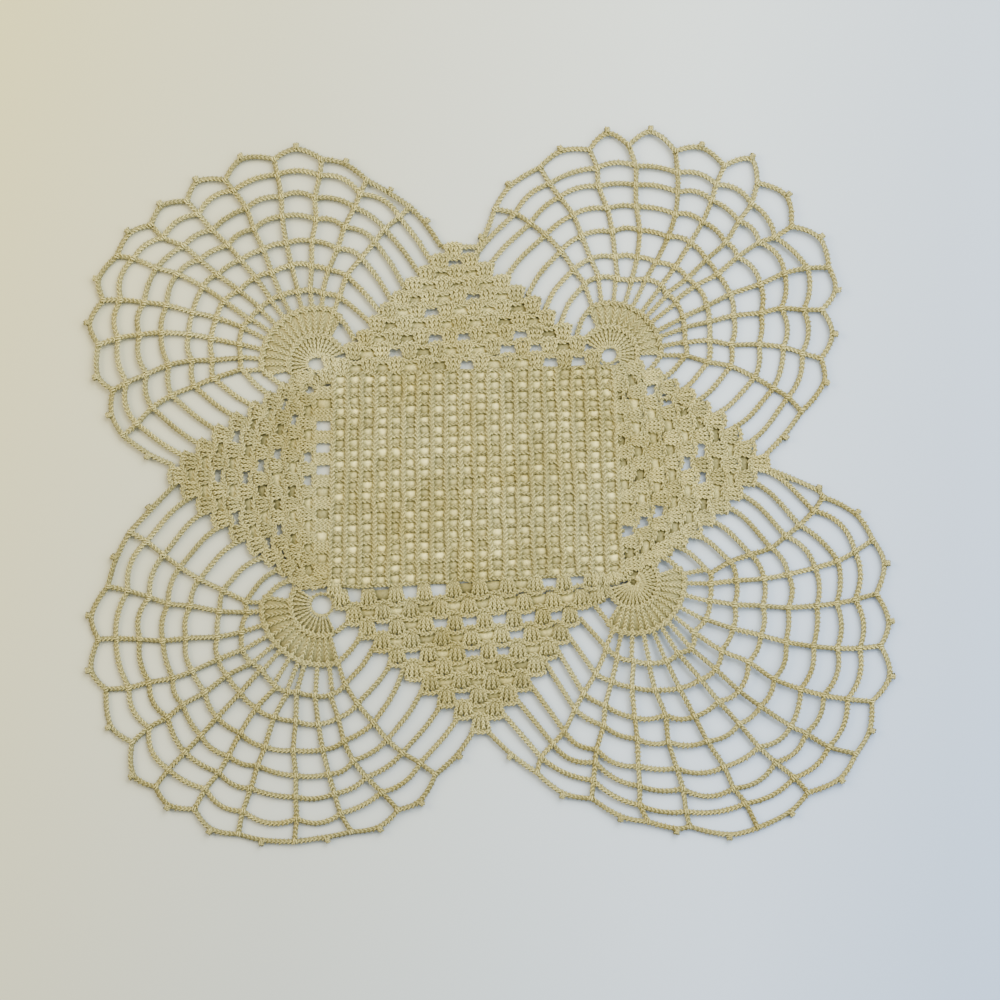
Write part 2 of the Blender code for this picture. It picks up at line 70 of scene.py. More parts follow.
# Each fan is read clockwise. A spoke's row has its bearings at the first ring, at MID_RING and
# at the rim, its distance from the hub at the first ring and at the rim, and the scallop that
# follows it. The steps are where the rings end, as shares of the way from the diamond's corner
# to the hub, from the innermost ring outwards. A tail is the rim's last scallop, beside the
# diamond, and pull is how far the strands there keep their ring's direction before they turn.
FANS = (
    Fan("top_left", (-91.5, 65.3), Hole(4.4, 2.9, 0), (-171.5, 11.0), (-26.5, 128.5),
        (0, 0.20, 0.38, 0.56, 0.72, 0.88, 1),
        (0.67, 0.565, 0.45, 0.32, 0.19, 0.08),
        (0.62, 0.53, 0.43, 0.32, 0.20, 0.10),
        Tail(1.5, 0.45, 0.05), Tail(1.0, 0.42, 0.05),
        (Spoke(185, 192, 200, 43, 113, 3.6, 0.50),
         Spoke(175, 181, 187, 44, 113, 5.5, 0.37),
         Spoke(166, 169, 175, 45, 119, 6.0, 0.46),
         Spoke(155, 159, 164, 47, 122, 6.0, 0.40),
         Spoke(147, 148, 152, 46, 125, 4.5, 0.53),
         Spoke(138, 139, 141, 45, 117, 5.5, 0.44),
         Spoke(128, 128, 130, 44, 113, 6.5, 0.42),
         Spoke(120, 116, 118, 42, 113, 7.0, 0.44),
         Spoke(108, 105, 103, 41, 113, 5.5, 0.46),
         Spoke(98, 93, 90, 40, 110, 3.0, 0.46),
         Spoke(88, 80, 76, 39, 102, 0.5, 0.50),
         Spoke(75, 67, 60, 38, 98, 0.0, 0.50))),
    Fan("top_right", (64.0, 70.0), Hole(3.9, 3.0, 35), (-6.8, 128.5), (147.0, 15.0),
        (0, 0.175, 0.36, 0.55, 0.72, 0.86, 1),
        (0.65, 0.53, 0.40, 0.24, 0.12, 0.02),
        (0.73, 0.60, 0.50, 0.375, 0.245, 0.115),
        Tail(-1.0, 0.25, 0.12), Tail(1.0, 0.50, 0.12),
        (Spoke(109, 118, 127, 40, 100, 3.5, 0.44),
         Spoke(98, 105, 110, 42, 108, 4.5, 0.48),
         Spoke(85, 91, 95, 42, 111, 8.0, 0.49),
         Spoke(73, 79, 85, 43, 113, 9.0, 0.42),
         Spoke(64, 65, 72, 45, 115, 6.0, 0.46),
         Spoke(53, 55, 59, 47, 120, 10.0, 0.56),
         Spoke(46, 45, 49, 46, 122, 8.0, 0.51),
         Spoke(38, 37, 35, 46, 121, 7.0, 0.50),
         Spoke(27, 26, 22, 44, 128, 5.5, 0.48),
         Spoke(20, 16, 12, 43, 118, 6.0, 0.49),
         Spoke(10, 4, -1, 41, 114, 6.0, 0.36),
         Spoke(0, -8, -16, 42, 109, 0.0, 0.50))),
    Fan("bottom_right", (69.0, -54.0), None, (147.5, 9.5), (-3.0, -131.0),
        (0, 0.17, 0.33, 0.48, 0.64, 0.76, 0.88, 1),
        (0.65, 0.54, 0.42, 0.30, 0.20, 0.10, 0.01),
        (0.74, 0.635, 0.545, 0.455, 0.325, 0.22, 0.12),
        Tail(2.0, 0.88, 0.12), Tail(1.5, 0.45, 0.0),
        (Spoke(10, 15, 23, 49, 121, 4.5, 0.55),
         Spoke(1, 4, 10, 49, 139, 5.5, 0.45),
         Spoke(-10, -7, -2, 49, 139, 5.5, 0.55),
         Spoke(-22, -18, -13, 49, 146, 7.5, 0.50),
         Spoke(-32, -30, -25, 48, 150, 3.5, 0.51),
         Spoke(-41, -40, -36, 52, 156, 5.0, 0.45),
         Spoke(-49, -49, -48, 49, 152, 3.0, 0.41),
         Spoke(-58, -60, -60, 48, 150, 4.0, 0.41),
         Spoke(-68, -72, -73, 44, 137, 2.0, 0.30),
         Spoke(-80, -84, -83, 41, 129, 3.0, 0.43),
         Spoke(-92, -97, -97, 39, 116, 4.0, 0.46),
         Spoke(-102, -110, -114, 36, 111, 0.0, 0.50))),
    Fan("bottom_left", (-91.0, -64.5), Hole(4.9, 4.6, 0), (-8.0, -130.5), (-169.0, 1.5),
        (0, 0.19, 0.39, 0.55, 0.70, 0.85, 1),
        (0.66, 0.54, 0.47, 0.335, 0.21, 0.10),
        (0.705, 0.605, 0.46, 0.335, 0.215, 0.11),
        Tail(2.0, 0.53, 0.08), Tail(0.2, 0.45, 0.12),
        (Spoke(-74, -64, -56, 44, 111, 4.5, 0.57),
         Spoke(-83, -78, -69, 47, 118, 4.0, 0.47),
         Spoke(-94, -88, -83, 50, 124, 0.5, 0.43),
         Spoke(-106, -99, -96, 49, 129, 1.5, 0.57),
         Spoke(-112, -112, -110, 50, 131, 5.0, 0.52),
         Spoke(-121, -122, -122, 51, 130, 5.0, 0.54),
         Spoke(-132, -133, -133, 49, 133, 7.5, 0.40),
         Spoke(-140, -144, -144, 49, 126, 6.5, 0.40),
         Spoke(-150, -154, -158, 49, 124, 6.5, 0.42),
         Spoke(-161, -168, -171.5, 44, 123, 6.0, 0.40),
         Spoke(-174, -181, -185, 41, 116, 1.5, 0.50),
         Spoke(-182, -195, -201, 41, 111, 0.0, 0.50))),
)

# A wedge has ten rows of shells, one shell in the first row and ten in the last. Its rows run
# along across_deg, from the middle of the first row to the middle of the last. The rows turn by
# tilt_deg on their way to the square, and arch is how fast their ends fall back, per mm.
WEDGE_ROWS = 10
WEDGES = (
    Wedge("top", (-19.8, 126.0), (-12.7, 66.0), 2, 15.8, 15.0, 0, 0),
    Wedge("right", (144.8, 11.4), (72.5, 12.0), -90, 15.8, 12.1, 5.0, 0),
    Wedge("bottom", (-5.3, -128.5), (-13.0, -57.1), 180, 17.2, 15.0, 4.6, 0),
    Wedge("left", (-168.6, 5.4), (-99.4, 2.6), 90, 16.0, 12.3, 0, 0.006),
)
WEDGE_NARROWING = 1.5        # the power by which a wedge's pitch shrinks towards the square
WEDGE_SAG = 2.2              # how far the middle rows lie outwards of an even spacing

# ---- the rows of posts at each fan's centre --------------------------
# Its posts stand in two rows round the hole, or round a point at a shift from the rings' centre.
# The outer row's chain ends on the diamond at enter_step and leave_step, as the rings do. Each
# row of posts fills its own bearings, clockwise: beside them are open slits.
Hub = namedtuple("Hub", "shift inner_mm outer_mm enter_step leave_step "
                        "inner_from inner_to outer_from outer_to")
HUBS = {
    "top_left": Hub((-2.0, 0.0), 15.5, 30.0, 0.767, 0.747, 200, 25, 190, 64),
    "top_right": Hub((0.0, 0.0), 15.5, 28.1, 0.767, 0.80, 150, -26, 112, 3),
    "bottom_right": Hub((8.0, 1.6), 14.0, 27.5, 0.743, 0.84, 58, -165, 16, -120),
    "bottom_left": Hub((0.0, 0.0), 17.0, 32.4, 0.747, 0.795, -66, -212, -74, -187),
}

# ---- the thread and its stitches -------------------------------------
THREAD = 0.47                # the thread's radius
FINE_THREAD = 0.42           # and where the stitches are drawn tight
SIDES = 4                    # sides of the thread's tube
TONE_SPREAD = 0.06           # how much the tone differs from one strand to the next
CHAIN_PITCH = 2.3            # one chain stitch
CHAIN_HALF = 1.45            # how far its two legs lie from its middle
CHAIN_RISE = 0.62            # how far it reaches up and down
CHAIN_WOBBLE = 0.09          # how uneven its loops are, as a share of their size
ROLL_MM = 9.0                # the length over which a chain's roll turns by a radian
STRAND_Z = 1.6               # the middle of a chain over the table
LINE_STEP = 1.0              # from one point of a smooth line to the next
TINY = 1e-9                  # keeps a direction's length above zero
LEAN = 1e-4                  # gives the side of an upright thread a direction

# The thread's way through one chain stitch: through the loop before, up the left leg, round the
# loop's head, down the right leg and out behind. Shares of the pitch, the half width, the rise.
Turn = namedtuple("Turn", "ahead left up")
CHAIN_STITCH = (
    Turn(-0.30, 0.00, -0.50),
    Turn(0.20, 0.12, 0.90),
    Turn(0.80, 1.00, 0.15),
    Turn(0.95, 0.00, -0.80),
    Turn(0.80, -1.00, 0.15),
    Turn(0.20, -0.12, 0.90),
)

# The back of a chain lies in its shade: a flat core under its loops, darkened with painted shade.
CORE_STEP = 2.2
CORE_SHARE = 0.85            # its width, as a share of the chain's
CORE_FLAT = 0.5              # its height, as a share of its width
# painted shade: the tone of the core
CORE_SHADE_TONE = 0.46
CORE_SINK = 0.35             # how far it lies under the middle of the chain

# A knot is thread wound round a strand: the length it covers, its turns and their radius.
Knot = namedtuple("Knot", "length turns radius tone")
KNOT_STEPS = 6               # points on each turn
KNOT_HEIGHT = 0.8            # its height, as a share of its width
KNOT_WOBBLE = 0.08

# Painted shade: the thread is darker low down in the cloth, where less light reaches. Its tone at
# two heights over the table.
SHADE_HEIGHTS = (0.6, 2.7)
SHADES = (0.5, 1.15)

# The cloth is a little darker towards the bottom left.
PIECE_TONES = {"wedge_left": 0.87, "fan_bottom_left": 0.88, "hub_bottom_left": 0.92,
               "wedge_bottom": 0.95}

# The cloth stands off the table in low waves, and more in the bottom right fan.
WAVE_HEIGHT, WAVE_LEVEL = 0.35, 0.45
WAVE_ALONG_X, WAVE_ALONG_Y, WAVE_SLANT = 23, 19, 37  # where a wave has turned by a radian
WAVE_START_X, WAVE_START_Y = 1.2, -0.4
SWELL_AT = (95, -95)
SWELL_HEIGHT, SWELL_REACH = 1.6, 38
LOWEST_Z = 0.02              # no thread goes through the table


def polar(centre, bearing, distance):
    """The point at a bearing and a distance from a centre."""
    turn = math.radians(bearing)
    return Vector((centre[0] + distance * math.cos(turn), centre[1] + distance * math.sin(turn)))


def blend(a, b, share):
    """The value at a share of the way from a to b."""
    return a + (b - a) * share


def left_of(direction):
    """The unit vector to the left of a direction."""
    side = Vector((-direction.y, direction.x))
    side.normalize()
    return side


def spoke_bearing(spoke, share):
    """A spoke's bearing, on a parabola through its three given bearings."""
    first = spoke.root_deg
    rise = spoke.rim_deg - first
    sag = spoke.mid_deg - first - rise * MID_RING
    return first + rise * share + sag * share * (1 - share) / (MID_RING * (1 - MID_RING))


def junctions(fan):
    """The points where rings and spokes cross: a list for each ring, the rim last."""
    rows = []
    for share in fan.rings:
        row = [polar(fan.hub, spoke_bearing(s, share), blend(s.first_mm, s.rim_mm, share))
               for s in fan.spokes]
        rows.append(row)
    return rows


# ---- lines -----------------------------------------------------------
def raised(points, height):
    """Flat points as a line at a height."""
    return np.array([(p[0], p[1], height) for p in points], float)


def smooth(points, step):
    """A smooth curve through some points, with a point about every step."""
    points = np.asarray(points, float)
    guides = np.vstack((2 * points[0] - points[1], points, 2 * points[-1] - points[-2]))
    pieces = []
    for before, a, b, after in zip(guides, guides[1:], guides[2:], guides[3:]):
        count = max(2, math.ceil(np.linalg.norm(b - a) / step))
        t = np.linspace(0, 1, count, endpoint=False)[:, None]
        pieces.append((2 * a + (b - before) * t + (2 * before - 5 * a + 4 * b - after) * t ** 2
                       + (3 * a - before - 3 * b + after) * t ** 3) / 2)
    pieces.append(points[-1:])
    return np.vstack(pieces)


def arc(a, b, bow_mm):
    """A flat curve from a to b that bows to its left, without b."""
    count = max(3, math.ceil((b - a).length / LINE_STEP))
    away = left_of(b - a)
    return [blend(a, b, i / count) + away * (4 * bow_mm * (i / count) * (1 - i / count))
            for i in range(count)]


def reach_of(line):
    """The distance along a line at each of its points."""
    return np.concatenate(([0], np.cumsum(np.linalg.norm(np.diff(line, axis=0), axis=1))))


def at_places(line, places):
    """Points on a line at some distances along it, with the left and the up direction there."""
    reach = reach_of(line)
    points = np.stack([np.interp(places, reach, line[:, k]) for k in range(3)], axis=1)
    heading = np.gradient(line, reach, axis=0)
    ahead = np.stack([np.interp(places, reach, heading[:, k]) for k in range(3)], axis=1)
    ahead /= np.linalg.norm(ahead, axis=1)[:, None]
    left = np.stack((-ahead[:, 1], ahead[:, 0], np.zeros(len(ahead))), axis=1)
    left /= np.maximum(np.linalg.norm(left, axis=1), TINY)[:, None]
    return points, left, np.cross(ahead, left)


# ---- the thread ------------------------------------------------------
def tube_points(line, radius, flat):
    """A ring of points round each point of a line. A flat tube's sides face straight up."""
    around = 2 * math.pi * np.arange(SIDES) / SIDES
    if flat < 1:
        around = around + math.pi / SIDES
        radius = np.asarray(radius) / math.cos(math.pi / SIDES)
    ahead = np.gradient(line, axis=0)
    ahead /= np.maximum(np.linalg.norm(ahead, axis=1), TINY)[:, None]
    left = np.stack((-ahead[:, 1], ahead[:, 0], np.full(len(line), LEAN)), axis=1)
    left /= np.linalg.norm(left, axis=1)[:, None]
    up = np.cross(ahead, left)
    ring = (left[:, None] * np.cos(around)[None, :, None]
            + up[:, None] * np.sin(around)[None, :, None] * flat)
    width = np.broadcast_to(radius, len(line))[:, None, None]
    return (line[:, None] + ring * width).reshape(-1, 3)


def tube_quads(rings):
    """The corners of a tube's quads, counted from the tube's first point."""
    first = np.arange(rings - 1)[:, None] * SIDES
    here = np.arange(SIDES)[None, :]
    there = (here + 1) % SIDES
    return np.stack((first + here, first + there, first + SIDES + there,
                     first + SIDES + here), axis=2).reshape(-1, 4)


def tube_spots(line):
    """The UV of each quad's corners: turns round the thread, and millimetres along it."""
    reach = reach_of(line)
    shape = (len(line) - 1, SIDES)
    low = np.broadcast_to(reach[:-1, None], shape)
    high = np.broadcast_to(reach[1:, None], shape)
    start = np.broadcast_to(np.arange(SIDES) / SIDES, shape)
    end = start + 1 / SIDES
    return np.stack((start, low, end, low, end, high, start, high), axis=2).reshape(-1, 8)


def cloth_lift(x, y):
    """How far the cloth stands off the table at some places."""
    waves = np.sin(x / WAVE_ALONG_X + WAVE_START_X) * np.cos(y / WAVE_ALONG_Y + WAVE_START_Y)
    waves += np.sin((x + y) / WAVE_SLANT)
    away = (x - SWELL_AT[0]) ** 2 + (y - SWELL_AT[1]) ** 2
    swell = np.exp(-away / (2 * SWELL_REACH ** 2))
    return np.maximum(WAVE_HEIGHT * waves + WAVE_LEVEL, 0) + SWELL_HEIGHT * swell


class Yarn:
    """A piece of the crochet: the tubes of its thread, which become one mesh."""

    def __init__(self, name, seed):
        self.name = name
        self.random = np.random.default_rng(SEED + seed)
        self.points = []
        self.quads = []
        self.spots = []
        self.tones = []
        self.caps = []
        self.count = 0

    def tube(self, line, radius=THREAD, tone=1.0, flat=1.0):
        """The thread along a line. Its tone is a little different each time, and a round tube has
        painted shade low down in the cloth. flat is its height, as a share of its width, and a
        flat tube has no plies and the same tone all over."""
        points = tube_points(line, radius, flat)
        spots = tube_spots(line)
        # painted shade: a round tube is darker low down in the cloth
        shade = np.interp(points[:, 2], SHADE_HEIGHTS, SHADES)
        if flat < 1:
            spots *= 0
            shade = np.ones(len(points))
        last = self.count + len(points) - SIDES
        self.points.append(points)
        self.spots.append(spots)
        self.tones.append(shade * tone * (1 + self.random.normal(0, TONE_SPREAD)))
        self.quads.append(self.count + tube_quads(len(line)))
        self.caps.append(self.count + np.arange(SIDES)[::-1])
        self.caps.append(last + np.arange(SIDES))
        self.count += len(points)

    def chain(self, line, half=CHAIN_HALF, radius=THREAD, roll=0.0, foot=1.0, tone=1.0):
        """A chain of loops along a line. It rolls over by up to roll degrees on its way, and
        starts as narrow as foot, a share of its width."""
        length = reach_of(line)[-1]
        stitches = max(1, round(length / CHAIN_PITCH))
        step = length / stitches
        turns = np.array(CHAIN_STITCH)
        order = np.arange(stitches)[:, None] + self.random.uniform(-0.5, 0.5)
        ahead = ((order + turns[None, :, 0]) * step).ravel().clip(0, length)
        across = np.tile(turns[:, 1], stitches) * half * (foot + (1 - foot) * ahead / length)
        up_by = np.tile(turns[:, 2], stitches) * CHAIN_RISE
        wobble = 1 + self.random.normal(0, CHAIN_WOBBLE, len(ahead))
        phase = self.random.uniform(0, 2 * math.pi)
        swing = math.radians(roll) * np.sin(ahead / ROLL_MM + phase)
        points, left, up = at_places(line, ahead)
        sideways = (across * np.cos(swing) - up_by * np.sin(swing)) * wobble
        upwards = (across * np.sin(swing) + up_by * np.cos(swing)) * wobble
        self.tube(points + left * sideways[:, None] + up * upwards[:, None], radius, tone)
        self.core(line, length, half, foot, tone)

    def core(self, line, length, half, foot, tone):
        """The back of a chain, darkened with painted shade."""
        places = np.linspace(0, length, max(2, round(length / CORE_STEP) + 1))
        points, _, _ = at_places(line, places)
        points[:, 2] -= CORE_SINK
        width = half * CORE_SHARE * (foot + (1 - foot) * places / length)
        self.tube(points, width, tone * CORE_SHADE_TONE, CORE_FLAT)

    def knot(self, centre, heading_deg, shape):
        """A knot round a strand that heads one way."""
        count = round(shape.turns * KNOT_STEPS) + 1
        angle = np.linspace(0, shape.turns * 2 * math.pi, count)
        angle += self.random.uniform(0, 2 * math.pi)
        shift = np.linspace(-shape.length / 2, shape.length / 2, count)
        heading = math.radians(heading_deg)
        ahead = np.array((math.cos(heading), math.sin(heading), 0))
        left = np.array((-math.sin(heading), math.cos(heading), 0))
        up = np.array((0, 0, KNOT_HEIGHT))
        reach = shape.radius * (1 + self.random.normal(0, KNOT_WOBBLE, count))[:, None]
        ring = left * np.cos(angle)[:, None] + up * np.sin(angle)[:, None]
        line = np.asarray(centre) + ahead * shift[:, None] + ring * reach
        self.tube(line, THREAD, shape.tone)

    def piece(self):
        """The piece as an object, in metres and lifted with the cloth."""
        points = np.concatenate(self.points)
        points[:, 2] += cloth_lift(points[:, 0], points[:, 1])
        points[:, 2] = np.maximum(points[:, 2], LOWEST_Z)
        points[:, :2] -= MIDDLE
        mesh = bpy.data.meshes.new(self.name)
        self.fill(mesh, points * MM)
        self.dress(mesh)
        thing = bpy.data.objects.new(self.name, mesh)
        bpy.context.scene.collection.objects.link(thing)
        return thing

    def fill(self, mesh, points):
        """The mesh's points, its quads, and the cap at each end of each tube."""
        quads = np.concatenate(self.quads)
        caps = np.concatenate(self.caps)
        loops = np.concatenate((quads.ravel(), caps))
        starts = np.concatenate((np.arange(len(quads)) * 4,
                                 quads.size + np.arange(len(self.caps)) * SIDES))
        mesh.vertices.add(len(points))
        mesh.vertices.foreach_set("co", points.astype(np.float32).ravel())
        mesh.loops.add(len(loops))
        mesh.loops.foreach_set("vertex_index", loops.astype(np.int32))
        mesh.polygons.add(len(starts))
        mesh.polygons.foreach_set("loop_start", starts.astype(np.int32))
        mesh.update(calc_edges=True)
        mesh.shade_smooth()

    def dress(self, mesh):
        """What the material reads: the place on the thread, and the thread's tone, with its
        painted shade.
        """
        quad_spots = np.concatenate(self.spots).ravel()
        cap_spots = np.zeros(len(self.caps) * SIDES * 2)
        layer = mesh.uv_layers.new(name="thread")
        layer.uv.foreach_set("vector",
                             np.concatenate((quad_spots, cap_spots)).astype(np.float32))
        tones = mesh.attributes.new("tone", "FLOAT", "POINT")
        shade = np.concatenate(self.tones) * PIECE_TONES.get(self.name, 1.0)
        tones.data.foreach_set("value", shade.astype(np.float32))


# ---- the strands behind the gaps, with painted light and shade -------
# painted light and shade: the tones of the strands in the gaps
GAP_LIGHT_AND_SHADE_TONES = (0.5, 1.6)
GAP_STRAND_FLAT = 0.1             # a strand's height, as a share of its width
GAP_STRAND_Z = 0.7
BACK_FLAT = 0.15             # likewise for the back of a shell
BACK_Z = 1.4
HUB_BACK_Z = 0.9
HUB_BACK_HEIGHT = 0.45       # half the height of a back of posts
HUB_BACK_STEPS = 24


def gap_light_and_shade_strand(yarn, start, end, radius, tones=GAP_LIGHT_AND_SHADE_TONES):
    """A flat strand behind a gap. It stands for the thread there, and its tone paints the
    shade and the warm bounce light seen through the gap.
    """
    line = np.array(((*start, GAP_STRAND_Z), (*end, GAP_STRAND_Z)))
    yarn.tube(line, radius, yarn.random.uniform(*tones), GAP_STRAND_FLAT)


def dense_back(yarn, centre, bearings, distance, half, tone):
    """The close back of a row of posts: an arch round the centre, whose dark tone is painted
    shade.
    """
    arch = [polar(centre, blend(*bearings, i / HUB_BACK_STEPS), distance)
            for i in range(HUB_BACK_STEPS + 1)]
    yarn.tube(raised(arch, HUB_BACK_Z), half, tone, HUB_BACK_HEIGHT / half)


# ---- the fans --------------------------------------------------------
JITTER = 0.7                 # how far a hand-made junction strays from its place
RING_BOW = 0.07              # an inner ring's bow between two spokes, as a share of its chord
RING_BOW_GROWTH = 0.05       # how much more an outer one bows
RING_BOW_SPREAD = (0.5, 1.5)
RING_ROLL, RIM_ROLL, SPOKE_ROLL = 25, 30, 35  # how far the chains roll over, in degrees
STRAND_REACH = 3.5           # how far a ring's end goes on into the diamond
JUNCTION_KNOT = Knot(2.4, 2, 1.35, 1.0)
JUNCTION_RISE = 0.3          # how far a junction's knot stands over its chains
RIM_KNOT = Knot(2.8, 3, 1.5, KNOT_TONE)
RIM_KNOT_ACROSS = Knot(2.2, 2, 1.7, KNOT_TONE)
RIM_KNOT_OUT = 1.5           # how far a rim knot's middle lies outside its scallop
RIM_KNOT_RISE = 0.2


def scallop_line(a, b, bow, knot_at):
    """The rim's chain from a to b, without b."""
    across = left_of(b - a)
    count = max(6, math.ceil((b - a).length))
    line = []
    for i in range(count):
        share = i / count
        away = (share - knot_at) / (knot_at if share < knot_at else 1 - knot_at)
        line.append(blend(a, b, share) + across * bow * (1 - abs(away) ** KNOT_SHARPNESS))
    return line


def ring_bow(fan, number, random):
    """A ring's bow between two spokes, as a share of its chord: outer rings hang rounder."""
    return (RING_BOW + RING_BOW_GROWTH * fan.rings[number]) * random.uniform(*RING_BOW_SPREAD)


def end_line(fan, start, target, way):
    """The strand from a ring's last junction to the diamond."""
    pull = (fan.tail_in if way > 0 else fan.tail_out).pull
    along = left_of(start - Vector(fan.hub)) * way
    middle = blend(start, target, 0.5) + along * (target - start).length * pull
    return [middle, target, target + (target - middle).normalized() * STRAND_REACH]


def ring_line(fan, row, number, enter_step, leave_step, random):
    """A whole ring, clockwise, from the diamond and back to it."""
    hub = Vector(fan.hub)
    first = end_line(fan, row[0], blend(Vector(fan.enter), hub, enter_step), 1)
    last = end_line(fan, row[-1], blend(Vector(fan.leave), hub, leave_step), -1)
    start = smooth([*reversed(first), row[0]], LINE_STEP)
    line = [Vector(p) for p in start[:-1]]
    for a, b in zip(row, row[1:]):
        line += arc(a, b, (b - a).length * ring_bow(fan, number, random))
    line += [Vector(p) for p in smooth([row[-1], *last], LINE_STEP)]
    return line


def rim_knot(yarn, point, outward):
    """A small bunched knot on the rim's outer side."""
    heading = math.degrees(math.atan2(outward.y, outward.x))
    centre = (*(point + outward * RIM_KNOT_OUT), STRAND_Z + RIM_KNOT_RISE)
    yarn.knot(centre, heading, RIM_KNOT)
    yarn.knot(centre, heading + 90, RIM_KNOT_ACROSS)


def rim(yarn, fan, rim_row):
    """The rim's chain with its knots."""
    corners = [Vector(fan.enter), *rim_row, Vector(fan.leave)]
    line = []
    for a, b, scallop in zip(corners, corners[1:], (fan.tail_in, *fan.spokes[:-1], fan.tail_out)):
        line += scallop_line(a, b, scallop.bow_mm, scallop.knot_at)
        across = left_of(b - a)
        rim_knot(yarn, blend(a, b, scallop.knot_at) + across * scallop.bow_mm, across)
    line.append(corners[-1])
    yarn.chain(raised(line, STRAND_Z), roll=RIM_ROLL)


def closing_chain(yarn, before, after):
    """The rim's chain over a corner of the diamond, from one fan to the next."""
    start, end = Vector(before.leave), Vector(after.enter)
    yarn.chain(raised([start, blend(start, end, 0.5), end], STRAND_Z))


def junction_knots(yarn, row):
    """A knot at each junction of a ring."""
    for i, point in enumerate(row):
        ahead = row[min(i + 1, len(row) - 1)] - row[max(i - 1, 0)]
        heading = math.degrees(math.atan2(ahead.y, ahead.x))
        yarn.knot((point.x, point.y, STRAND_Z + JUNCTION_RISE), heading, JUNCTION_KNOT)


def fan_piece(fan, seed):
    """The open net of one fan, its rim and the strands that end on the diamond."""
    yarn = Yarn("fan_" + fan.name, seed)
    rows = [[point + Vector(yarn.random.normal(0, JITTER, 2)) for point in row]
            for row in junctions(fan)]
    for number, row in enumerate(rows[:-1]):
        line = ring_line(fan, row, number, fan.enter_steps[number], fan.leave_steps[number],
                         yarn.random)
        yarn.chain(raised(line, STRAND_Z), roll=RING_ROLL)
    rim(yarn, fan, rows[-1])
    closing_chain(yarn, fan, FANS[(FANS.index(fan) + 1) % len(FANS)])
    for i in range(len(fan.spokes)):
        spoke_line = smooth(raised([row[i] for row in rows], STRAND_Z), LINE_STEP)
        yarn.chain(spoke_line, roll=SPOKE_ROLL)
    for row in rows:
        junction_knots(yarn, row)
    return yarn


# ---- the dense part of each fan --------------------------------------
# A row of posts: the angle from one to the next, their half width, how far they start outside
# the hole's edge or the row before, the width of their foot as a share of theirs, and the tone
# of the cloth behind them, darkened with painted shade.
Posts = namedtuple("Posts", "gap_deg half start foot back_tone")
# painted shade: the dark tones of the cloth behind the posts
INNER_POSTS = Posts(10.4, 0.75, 0.8, 0.25, 0.38)
OUTER_POSTS = Posts(9.5, 1.35, 0.5, 0.7, 0.6)
POST_JITTER_DEG = 0.4
ROOT_POST_HALF = 1.25        # the posts from the dense part out to the first ring
INNER_BACK_IN = 4.5          # how far its middle lies inside the inner row's edge
INNER_BACK_HALF = 4.2
INNER_ARCH_RISE = 0.25       # how far the chain between the rows stands over them
INNER_ARCH_STEPS = 40
OUTER_RING_RISE = 0.2
HOLE_CHAIN_OUT = 1.3         # how far the chain round a hole lies outside its edge
HOLE_CHAIN_HALF = 0.8
HOLE_CHAIN_DEG = 10

# The hole that is drawn shut, and a dark strand in it whose tone paints the dimple's shade.
CLOSED_HOLE = Hole(1.2, 1.2, 0)
DIMPLE = ((-0.5, -1.5), (1.2, 6.0))
DIMPLE_HALF = 2.8
DIMPLE_SHADE_TONES = (0.5, 0.55)

# A strand from the inner row of posts to the diamond, which parts two slits.
HUB_TIES = {"bottom_left": ((-83.7, -79.7), (-73.5, -71.5))}


def hole_edge(fan, bearing):
    """The distance from a hub to the edge of its hole."""
    hole = fan.hole or CLOSED_HOLE
    turn = math.radians(bearing - hole.turn_deg)
    return 1 / math.hypot(math.cos(turn) / hole.long_mm, math.sin(turn) / hole.short_mm)


def fanned_posts(yarn, centre, first_deg, last_deg, posts, near, far, radius):
    """Posts that stand round a centre. near is the distance of their feet, for a bearing."""
    count = round((first_deg - last_deg) / posts.gap_deg)
    for i in range(count + 1):
        bearing = (blend(first_deg, last_deg, i / count)
                   + yarn.random.normal(0, POST_JITTER_DEG))
        line = raised([polar(centre, bearing, near(bearing) + posts.start),
                       polar(centre, bearing, far)], STRAND_Z)
        yarn.chain(line, half=posts.half, radius=radius, foot=posts.foot)


def inner_posts(yarn, fan, hub, centre):
    """The close posts round the hole, the chain round it and the cloth behind them, dark with
    painted shade.
    """
    fanned_posts(yarn, centre, hub.inner_from, hub.inner_to, INNER_POSTS,
                 lambda bearing: hole_edge(fan, bearing), hub.inner_mm, FINE_THREAD)
    circle = [polar(centre, bearing, hole_edge(fan, bearing) + HOLE_CHAIN_OUT)
              for bearing in range(0, 361, HOLE_CHAIN_DEG)]
    yarn.chain(raised(circle, STRAND_Z), half=HOLE_CHAIN_HALF, radius=FINE_THREAD)
    dense_back(yarn, centre, (hub.inner_from, hub.inner_to), hub.inner_mm - INNER_BACK_IN,
               INNER_BACK_HALF, INNER_POSTS.back_tone)


def outer_posts(yarn, hub, centre):
    """The long posts, the cloth behind them, dark with painted shade, and the chain that they
    stand on.
    """
    depth = hub.outer_mm - hub.inner_mm
    dense_back(yarn, centre, (hub.outer_from, hub.outer_to), hub.inner_mm + depth / 2, depth / 2,
               OUTER_POSTS.back_tone)
    arch = [polar(centre, blend(hub.inner_from, hub.inner_to, i / INNER_ARCH_STEPS), hub.inner_mm)
            for i in range(INNER_ARCH_STEPS + 1)]
    yarn.chain(raised(arch, STRAND_Z + INNER_ARCH_RISE))
    fanned_posts(yarn, centre, hub.outer_from, hub.outer_to, OUTER_POSTS,
                 lambda bearing: hub.inner_mm, hub.outer_mm, THREAD)


